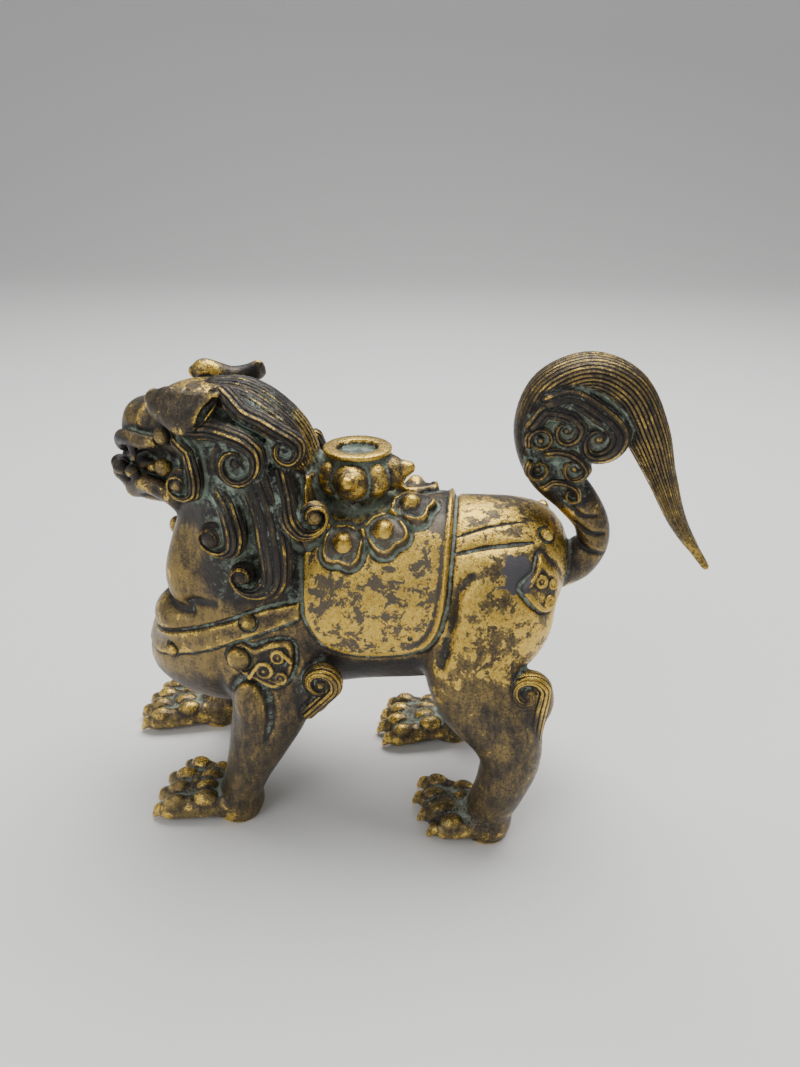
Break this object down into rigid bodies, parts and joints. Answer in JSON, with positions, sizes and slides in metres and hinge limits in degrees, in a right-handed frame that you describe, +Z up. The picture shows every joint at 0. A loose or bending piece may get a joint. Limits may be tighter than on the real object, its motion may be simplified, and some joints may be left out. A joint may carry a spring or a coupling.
{
  "type": "gilt bronze lion figure",
  "caption": "Walking lion cast in gilt bronze, with a curled mane, saddle cloth, lotus stand on its back and raised plumed tail.",
  "frame": {"origin": "on the floor under the middle of the box around the whole casting", "axes": "+Z up from the soles; the lion faces -X with its tail towards +X; its left side faces -Y"},
  "size_m": [0.2328, 0.0838, 0.1782],
  "materials": {
    "gilt_bronze": "worn gilding over dark patinated bronze, with green deposits in the hollows"
  },
  "bodies": {
    "root": {"lion": "gilt_bronze"}
  },
  "joints": []
}
